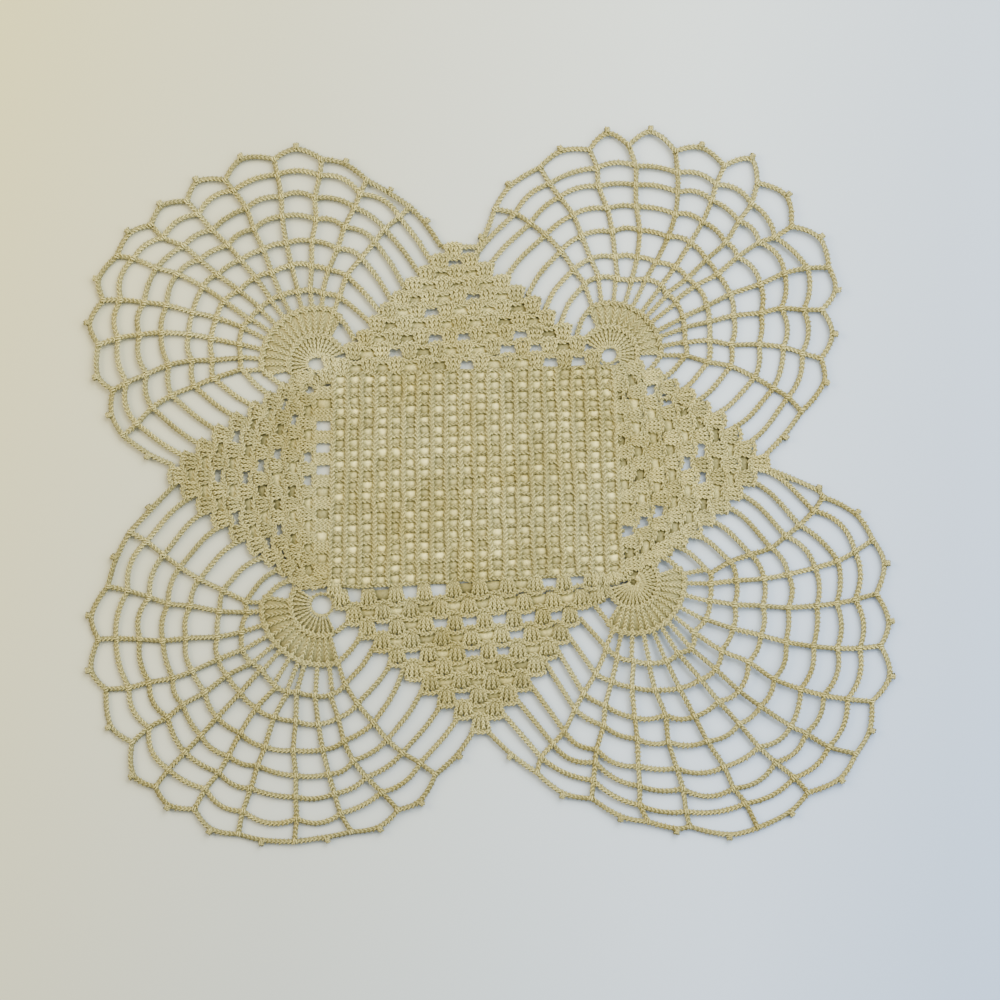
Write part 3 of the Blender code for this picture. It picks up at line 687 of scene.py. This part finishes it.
def hub_piece(fan, seed):
    """The posts round a fan's centre, out to the first ring."""
    hub = HUBS[fan.name]
    yarn = Yarn("hub_" + fan.name, seed)
    centre = Vector(fan.hub) + Vector(hub.shift)
    inner_posts(yarn, fan, hub, centre)
    outer_posts(yarn, hub, centre)
    heads = [polar(fan.hub, spoke.root_deg, spoke.first_mm) for spoke in fan.spokes]
    row = [centre + (head - centre).normalized() * hub.outer_mm for head in heads]
    line = ring_line(fan, row, 0, hub.enter_step, hub.leave_step, yarn.random)
    yarn.chain(raised(line, STRAND_Z + OUTER_RING_RISE))
    for foot, head in zip(row, heads):
        yarn.chain(raised([foot, head], STRAND_Z), half=ROOT_POST_HALF)
    if not fan.hole:
        # painted shade: a dark strand in the shut hole shows as a shaded dimple
        start, end = (centre + Vector(place) for place in DIMPLE)
        gap_light_and_shade_strand(yarn, start, end, DIMPLE_HALF, DIMPLE_SHADE_TONES)
    if fan.name in HUB_TIES:
        yarn.chain(raised(HUB_TIES[fan.name], STRAND_Z))
    return yarn


# ---- the wedges ------------------------------------------------------
# A shell's places from its middle, as outward distances in a row 6.8 mm high. Its legs and its
# foot spread along the row, and its crest is a share of the pitch wide.
Shell = namedtuple("Shell", "row crest_half crest_edge crest_top legs_top knee foot dip")
SHELL = Shell(6.8, 0.31, 2.4, 3.9, 3.3, -1.4, -4.6, 1.6)
SHELL_JITTER = 0.3
SHELL_LEGS = (-1, -0.34, 0.34, 1)
SHELL_TONE_SPREAD, LEG_TONE_SPREAD = 0.07, 0.05
LEG_HALF = 0.98
LEG_FOOT = 0.75              # the width of a leg's foot, as a share of the leg's
LEG_STEP = 1.2
LEG_DROP = 1.2               # how much lower the outermost legs end
FOOT_Z, KNEE_Z, TOP_Z = 1.25, 2.2, 2.3
FOOT_SPREAD, KNEE_SPREAD, TOP_SPREAD = 0.42, 0.67, 0.85  # of the legs, in crest half widths
CREST_Z = 2.1
CREST_HALF = 1.15            # half the width of a crest's chain
CREST_SHOULDER = 0.5         # where its top ends on each side, in crest half widths
SHELL_BACK = (0.75, 0.85, 0.85)  # the back's half width at the foot, knee and crest, likewise
# painted shade: the shell's back is dark, as the feet and the gaps between the legs lie in shade
SHELL_BACK_SHADE_TONE = 0.42

# The share of the gaps between shells that have a strand behind them, with painted light and
# shade.
GAP_STRAND_SHARES = {"bottom": 0.55, "right": 0.85, "top": 0.75, "left": 0.7}
GAP_STRAND_HALF = 3.0
GAP_STRAND_LEVEL = -1.0           # how far outwards of the shells' middles it lies

# Shells of their own fill the square's corners beside a wedge: a middle and the crest's bearing.
CORNER_SHELLS = {
    "bottom": (((60.5, -51.5), 188), ((66.5, -51.0), 196), ((72.0, -48.5), 215),
               ((61.5, -58.0), 192), ((57.5, -61.5), 188), ((-84.0, -57.5), 182)),
    "top": (((-86.0, 66.0), 5),),
    "right": (((71.0, 62.0), -70),),
    "left": (((-87.6, 59.0), 0), ((-94.0, 56.0), 40), ((-90.5, -51.0), 105),
             ((-94.5, -52.0), 95)),
}
CORNER_CREST_HALF = 4.6
TAKEN_PLACES = {("right", 9, 0)}  # the wedge, row and number of a shell that isn't there


def shell_centre(wedge, row, place):
    """The middle of a shell. place is its distance along its row, in pitches."""
    first, last = Vector(wedge.first), Vector(wedge.last)
    share = row / (WEDGE_ROWS - 1)
    out = (first - last).normalized()
    across = polar((0, 0), wedge.across_deg + wedge.tilt_deg * share, 1)
    pitch = blend(wedge.pitch_first, wedge.pitch_last, share ** WEDGE_NARROWING)
    along = pitch * place
    sag = WEDGE_SAG * 4 * share * (1 - share) - wedge.arch * (1 - share ** 3) * along ** 2
    return blend(first, last, share) + across * along + out * sag


def shell_axes(wedge, row, place):
    """Along the row and outwards at a shell, and half its crest's width. The outward axis is as
    long as a row there is higher than SHELL's."""
    first, last = Vector(wedge.first), Vector(wedge.last)
    ahead = shell_centre(wedge, row, place + 0.5)
    behind = shell_centre(wedge, row, place - 0.5)
    across = (ahead - behind).normalized()
    out = left_of(across) * (first - last).length / (WEDGE_ROWS - 1) / SHELL.row
    return across, out, (ahead - behind).length * SHELL.crest_half


def crest_points(centre, across, out, half):
    """The chain over one shell: up its side, along its top and down again."""
    return [centre + across * half * side + out * height
            for side, height in ((-1, SHELL.crest_edge), (-CREST_SHOULDER, SHELL.crest_top),
                                 (CREST_SHOULDER, SHELL.crest_top), (1, SHELL.crest_edge))]


def shell_legs(yarn, centre, across, out, crest_half):
    """The legs of one shell, which open from its foot, and its back, dark with painted shade."""
    tone = 1 + yarn.random.normal(0, SHELL_TONE_SPREAD)
    for leg in SHELL_LEGS:
        along = across * crest_half
        foot = centre + along * FOOT_SPREAD * leg + out * SHELL.foot
        knee = centre + along * KNEE_SPREAD * leg + out * SHELL.knee
        top = centre + along * TOP_SPREAD * leg + out * (SHELL.legs_top - LEG_DROP * abs(leg))
        line = smooth(np.array([(*foot, FOOT_Z), (*knee, KNEE_Z), (*top, TOP_Z)]), LEG_STEP)
        yarn.chain(line, half=LEG_HALF, radius=FINE_THREAD, foot=LEG_FOOT,
                   tone=tone + yarn.random.normal(0, LEG_TONE_SPREAD))
    # painted shade: a flat dark sheet behind the legs
    back = [(*(centre + out * at), BACK_Z) for at in (SHELL.foot, SHELL.knee, SHELL.crest_edge)]
    yarn.tube(np.array(back), crest_half * np.array(SHELL_BACK), SHELL_BACK_SHADE_TONE, BACK_FLAT)


def wedge_row(yarn, wedge, row):
    """One row of shells, the chain over them and the strands behind some of its gaps, which
    have painted light and shade.
    """
    places = [i - row / 2 for i in range(row + 1) if (wedge.name, row, i) not in TAKEN_PLACES]
    crest = []
    for place in places:
        across, out, half = shell_axes(wedge, row, place)
        jitter = Vector(yarn.random.normal(0, SHELL_JITTER, 2))
        centre = shell_centre(wedge, row, place) + jitter
        crest += crest_points(centre, across, out, half)
        if place < places[-1]:
            gap = shell_centre(wedge, row, place + 0.5)
            crest.append(gap + out * SHELL.dip)
            if yarn.random.random() < GAP_STRAND_SHARES[wedge.name]:
                level = out * GAP_STRAND_LEVEL
                # painted light and shade in the gap between two shells
                gap_light_and_shade_strand(yarn, centre + level, gap + (gap - centre) + level, GAP_STRAND_HALF)
        shell_legs(yarn, centre, across, out, half)
    yarn.chain(smooth(raised(crest, CREST_Z), LINE_STEP), half=CREST_HALF)


def wedge_piece(wedge, seed):
    """Ten rows of shells, and the shells in the square's corners beside them."""
    yarn = Yarn("wedge_" + wedge.name, seed)
    for row in range(WEDGE_ROWS):
        wedge_row(yarn, wedge, row)
    for place, across_deg in CORNER_SHELLS[wedge.name]:
        across = polar((0, 0), across_deg, 1)
        shell_legs(yarn, Vector(place), across, left_of(across), CORNER_CREST_HALF)
    return yarn


# ---- the filet square ------------------------------------------------
COLUMN_Z, COLUMN_HALF, COLUMN_ROLL = 2.2, 1.45, 20
ROW_Z, ROW_HALF, ROW_ROLL = 1.5, 1.15, 40
ROW_TONE = 0.92
ROW_REACH = 3.2              # how far the rows reach on into the right wedge
CROSSING_JITTER = 0.32
# painted light and shade: the pale tones of the strands in the filet's cells
FILET_GAP_LIGHT_AND_SHADE_TONES = (0.85, 2.0)
FILET_GAP_STRAND_HALF = 2.7

# A row of short V stitches joins the square's left side to the left wedge.
Join = namedtuple("Join", "middle_y pitch count outer_x spread_out spread_in")
JOIN = Join(2.2, 11.9, 9, -95.2, 2.6, 2.4)
JOIN_LEGS = (-1, -0.33, 0.33, 1)
JOIN_RISE = 0.2
JOIN_OPEN = (3.0, 40.0)      # from where to where its gaps are open
JOIN_GAP_STRAND_HALF = JOIN.pitch / 3


def filet_crossings(random):
    """The places where the bars cross: the square is a little uneven, as a hand-made one is."""
    low_left, low_right, top_right, top_left = (np.array(corner) for corner in FILET_CORNERS)
    share = np.linspace(0, 1, FILET_CELLS + 1)
    across, up = share[:, None, None], share[None, :, None]
    bottom = low_left + (low_right - low_left) * across
    top = top_left + (top_right - top_left) * across
    crossings = bottom + (top - bottom) * up
    return crossings + random.normal(0, CROSSING_JITTER, crossings.shape)


def join_row(yarn, edge):
    """The V stitches and the chain between the left wedge and the square's left edge."""
    ends = JOIN.pitch * (JOIN.count - 1) / 2
    height = STRAND_Z + JOIN_RISE
    for i in range(JOIN.count):
        y = JOIN.middle_y - ends + JOIN.pitch * i
        inner_x = np.interp(y, edge[:, 1], edge[:, 0])
        for leg in JOIN_LEGS:
            line = np.array([(JOIN.outer_x, y + leg * JOIN.spread_out, height),
                             (inner_x, y + leg * JOIN.spread_in, height)])
            yarn.chain(line, half=LEG_HALF, radius=FINE_THREAD)
        above = y + JOIN.pitch / 2
        if i < JOIN.count - 1 and not JOIN_OPEN[0] < above < JOIN_OPEN[1]:
            # painted light and shade in the join's closed gaps
            gap_light_and_shade_strand(yarn, (JOIN.outer_x, above), (inner_x, above), JOIN_GAP_STRAND_HALF)
    yarn.chain(np.array([(JOIN.outer_x, JOIN.middle_y - ends, STRAND_Z),
                         (JOIN.outer_x, JOIN.middle_y + ends, STRAND_Z)]))


def filet_piece(seed):
    """An even net: columns of posts, rows of chain across them, and a strand in each cell, whose
    pale tone paints the light and shade seen through the cell.
    """
    yarn = Yarn("filet", seed)
    crossings = filet_crossings(yarn.random)
    for column in crossings:
        yarn.chain(smooth(raised(column, COLUMN_Z), LINE_STEP), half=COLUMN_HALF,
                   radius=FINE_THREAD, roll=COLUMN_ROLL)
    for j in range(FILET_CELLS + 1):
        row = [*crossings[:, j], crossings[-1, j] + (ROW_REACH, 0)]
        yarn.chain(smooth(raised(row, ROW_Z), LINE_STEP), half=ROW_HALF,
                   radius=FINE_THREAD, roll=ROW_ROLL, tone=ROW_TONE)
    join_row(yarn, crossings[0])
    for i in range(FILET_CELLS):
        for j in range(FILET_CELLS):
            start = blend(crossings[i, j], crossings[i, j + 1], 0.5)
            end = blend(crossings[i + 1, j], crossings[i + 1, j + 1], 0.5)
            gap_light_and_shade_strand(yarn, start, end, FILET_GAP_STRAND_HALF, FILET_GAP_LIGHT_AND_SHADE_TONES)
    return yarn


# ---- materials -------------------------------------------------------
# A factor that goes from dark to light as its source goes from low to high.
Shading = namedtuple("Shading", "low high dark light")

DARK_ECRU, PALE_ECRU = (0.585, 0.495, 0.150, 1), (0.745, 0.67, 0.262, 1)
PATCHES = {"Scale": 26.0, "Detail": 3.0, "Roughness": 0.6}  # the uneven colour of the cloth
PATCH_RANGE = (0.30, 0.70)
FUZZ = {"Scale": 1100.0, "Detail": 2.0}                     # specks of loose fibre
FIBRES = {"Scale": 2600.0, "Detail": 3.0}                   # and the fibres' own relief
# painted shade in the grooves between the plies
PLY_SHADING = Shading(-1, 1, 0.5, 1.2)
# painted shade: dark where the thread's surface turns away from straight up
FACING_SHADING = Shading(0.0, 0.9, 0.42, 1.15)              # dark where the thread turns away
FUZZ_SHADING = Shading(0.3, 0.7, 0.8, 1.2)
PLIES = 3.0
PLY_TURNS_PER_MM = 0.75
PLY_RELIEF = 0.8             # the height of the plies, in heights of the fibres
RELIEF_STRENGTH, RELIEF_DEPTH = 0.5, 0.00012

# painted light: warm light on the upper left, cool light on the right
WARM_LIT_TABLE, COOL_LIT_TABLE = (0.78, 0.71, 0.32, 1), (0.60, 0.76, 1.0, 1)
# the painted warm light reaches upwards as well as to the left
TABLE_SLANT = -0.35          # the table is warmer upwards as well as to the left
TABLE_SIDES = Shading(-0.36, 0.36, 0.0, 1.0)  # places on the table are in metres
# painted light: a pool of light that brightens the table right of its middle
TABLE_LIGHT_POOL_RISE = Shading(-0.12, 0.09, 1.02, 1.2)
TABLE_LIGHT_POOL_FALL = Shading(0.13, 0.25, 1.0, 0.83)


def new_material(name, **settings):
    """A material with its nodes, its links and its surface."""
    material = bpy.data.materials.new(name)
    material.use_nodes = True
    surface = material.node_tree.nodes["Principled BSDF"]
    for key, value in settings.items():
        surface.inputs[key.replace("_", " ")].default_value = value
    return material, material.node_tree.nodes, material.node_tree.links, surface


def add(nodes, kind, **values):
    """A new shader node with some of its inputs or settings."""
    node = nodes.new(kind)
    for key, value in values.items():
        if key in node.inputs:
            node.inputs[key].default_value = value
        else:
            setattr(node, key, value)
    return node


def calculated(nodes, links, operation, *values):
    """The result of a sum. A value is a number or another node's output."""
    node = add(nodes, "ShaderNodeMath", operation=operation)
    for socket, value in zip(node.inputs, values):
        if isinstance(value, (int, float)):
            socket.default_value = value
        else:
            links.new(value, socket)
    return node.outputs[0]


def noise(nodes, links, place, settings):
    """Noise over the piece."""
    node = add(nodes, "ShaderNodeTexNoise", **settings)
    links.new(place, node.inputs["Vector"])
    return node.outputs["Fac"]


def split(nodes, links, vector):
    """The X, Y and Z of a vector."""
    node = nodes.new("ShaderNodeSeparateXYZ")
    links.new(vector, node.inputs[0])
    return node.outputs


def mixed(nodes, links, factor, first, last, between=(0.0, 1.0)):
    """A colour that goes from first to last as the factor passes between two values."""
    node = nodes.new("ShaderNodeValToRGB")
    low, high = node.color_ramp.elements
    low.position, high.position = between
    low.color, high.color = first, last
    links.new(factor, node.inputs["Fac"])
    return node.outputs["Color"]


def shaded(nodes, links, colour, factor):
    """A colour multiplied by a factor."""
    node = add(nodes, "ShaderNodeMix", data_type="RGBA", blend_type="MULTIPLY", Factor=1.0)
    links.new(colour, node.inputs["A"])
    links.new(factor, node.inputs["B"])
    return node.outputs["Result"]


def ramp(nodes, links, source, shading):
    """A shading's factor."""
    node = nodes.new("ShaderNodeMapRange")
    for key, value in zip(("From Min", "From Max", "To Min", "To Max"), shading):
        node.inputs[key].default_value = value
    links.new(source, node.inputs["Value"])
    return node.outputs["Result"]


def ply_wave(nodes, links):
    """A wave from -1 to 1 over the three plies that the thread is laid from."""
    thread = split(nodes, links, add(nodes, "ShaderNodeUVMap", uv_map="thread").outputs["UV"])
    round_it = calculated(nodes, links, "MULTIPLY", thread["X"], PLIES)
    turns = calculated(nodes, links, "MULTIPLY_ADD", thread["Y"], PLY_TURNS_PER_MM, round_it)
    angle = calculated(nodes, links, "MULTIPLY", turns, 2 * math.pi)
    return calculated(nodes, links, "SINE", angle)


def cotton():
    """Ecru cotton thread: three plies, fine fibres, and uneven colour over the cloth, with
    painted shade between the plies, where the thread turns away from straight up, and in its
    tone.
    """
    material, nodes, links, surface = new_material(
        "ecru_thread", Roughness=0.82, Specular_IOR_Level=0.25, Sheen_Weight=0.15,
        Sheen_Roughness=0.5)
    place = nodes.new("ShaderNodeTexCoord").outputs
    ply = ply_wave(nodes, links)
    facing = split(nodes, links, place["Normal"])["Z"]
    tone = add(nodes, "ShaderNodeAttribute", attribute_name="tone").outputs["Fac"]
    patches = noise(nodes, links, place["Object"], PATCHES)
    fuzz = noise(nodes, links, place["Object"], FUZZ)
    colour = mixed(nodes, links, patches, DARK_ECRU, PALE_ECRU, PATCH_RANGE)
    # painted shade: the plies' grooves, the thread's sides, and the shade in the tone
    for factor in (ramp(nodes, links, ply, PLY_SHADING),
                   ramp(nodes, links, facing, FACING_SHADING), tone,
                   ramp(nodes, links, fuzz, FUZZ_SHADING)):
        colour = shaded(nodes, links, colour, factor)
    links.new(colour, surface.inputs["Base Color"])

    fibres = noise(nodes, links, place["Object"], FIBRES)
    relief = calculated(nodes, links, "MULTIPLY_ADD", ply, PLY_RELIEF, fibres)
    bump = add(nodes, "ShaderNodeBump", Strength=RELIEF_STRENGTH, Distance=RELIEF_DEPTH)
    links.new(relief, bump.inputs["Height"])
    links.new(bump.outputs["Normal"], surface.inputs["Normal"])
    return material


def table_top():
    """A pale smooth surface with painted light: warm light on its upper left, cool light and a
    painted pool of light right of its middle.
    """
    material, nodes, links, surface = new_material("pale_table", Roughness=0.55)
    place = nodes.new("ShaderNodeTexCoord").outputs
    at = split(nodes, links, place["Object"])
    slant = calculated(nodes, links, "MULTIPLY_ADD", at["Y"], TABLE_SLANT, at["X"])
    side = ramp(nodes, links, slant, TABLE_SIDES)
    colour = mixed(nodes, links, side, WARM_LIT_TABLE, COOL_LIT_TABLE)
    # painted light: the pool of light right of the middle
    for shading in (TABLE_LIGHT_POOL_RISE, TABLE_LIGHT_POOL_FALL):
        colour = shaded(nodes, links, colour, ramp(nodes, links, at["X"], shading))
    links.new(colour, surface.inputs["Base Color"])
    return material


# ---- the stage -------------------------------------------------------
TABLE_SIZE = 4               # in metres, like the places of the lamps and the camera

Lamp = namedtuple("Lamp", "name place size power colour")
LAMPS = (
    Lamp("window_light", (0.7, 1.2, 1.35), 1.4, 52, (0.93, 0.96, 1.0)),
    Lamp("right_light", (1.3, 0.1, 0.9), 0.9, 14, (0.80, 0.90, 1.0)),
    Lamp("left_light", (-1.3, 0.5, 0.95), 0.9, 22, (1.0, 0.86, 0.62)),
)
ROOM_COLOUR = (0.92, 0.95, 1.0, 1)
ROOM_STRENGTH = 0.5

# The photograph is 1000 pixels wide, at 0.54 mm a pixel. This pixel is over the layout's origin.
PHOTO_ORIGIN_PX = (490.5, 485.0)
PHOTO_SIZE_PX = 1000
MM_PER_PIXEL = 0.54
CAMERA_HEIGHT = 1.7
CAMERA_REACH = 20
SENSOR_MM = 36.0


def table():
    """The surface that the doily lies on."""
    bpy.ops.mesh.primitive_plane_add(size=TABLE_SIZE, location=(0, 0, 0))
    floor = bpy.context.object
    floor.name = "table"
    floor.data.materials.append(table_top())


def soft_light(lamp):
    """A square area light that faces the doily."""
    light = bpy.data.lights.new(lamp.name, "AREA")
    light.size = lamp.size
    light.energy = lamp.power
    light.color = lamp.colour
    thing = bpy.data.objects.new(lamp.name, light)
    thing.location = lamp.place
    thing.rotation_euler = (-Vector(lamp.place)).to_track_quat("-Z", "Y").to_euler()
    bpy.context.scene.collection.objects.link(thing)


def light_room():
    """Soft light: a large lamp behind, a cool one on the right and a warm one on the left."""
    for lamp in LAMPS:
        soft_light(lamp)
    world = bpy.data.worlds.new("room")
    world.use_nodes = True
    air = world.node_tree.nodes["Background"]
    air.inputs["Color"].default_value = ROOM_COLOUR
    air.inputs["Strength"].default_value = ROOM_STRENGTH
    bpy.context.scene.world = world


def camera():
    """Straight above, with the doily at its place in the photograph."""
    view = PHOTO_SIZE_PX * MM_PER_PIXEL * MM
    data = bpy.data.cameras.new("camera")
    data.sensor_width = SENSOR_MM
    data.lens = SENSOR_MM * CAMERA_HEIGHT / view
    data.clip_end = CAMERA_REACH
    eye = bpy.data.objects.new("camera", data)
    across = (PHOTO_SIZE_PX / 2 - PHOTO_ORIGIN_PX[0]) * MM_PER_PIXEL - MIDDLE[0]
    up = (PHOTO_ORIGIN_PX[1] - PHOTO_SIZE_PX / 2) * MM_PER_PIXEL - MIDDLE[1]
    eye.location = (across * MM, up * MM, CAMERA_HEIGHT)
    bpy.context.scene.collection.objects.link(eye)
    bpy.context.scene.camera = eye


# ---- the doily -------------------------------------------------------
HUB_SEED, WEDGE_SEED, FILET_SEED = 10, 20, 30


def all_yarns():
    """Every piece of the crochet, the middle one last."""
    yarns = [fan_piece(fan, i) for i, fan in enumerate(FANS)]
    yarns += [hub_piece(fan, HUB_SEED + i) for i, fan in enumerate(FANS)]
    yarns += [wedge_piece(wedge, WEDGE_SEED + i) for i, wedge in enumerate(WEDGES)]
    yarns.append(filet_piece(FILET_SEED))
    return yarns


def main():
    thread = cotton()
    pieces = [yarn.piece() for yarn in all_yarns()]
    for piece in pieces:
        piece.data.materials.append(thread)
        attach(piece, "root")
        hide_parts("doily")
    table()
    light_room()
    camera()


main()
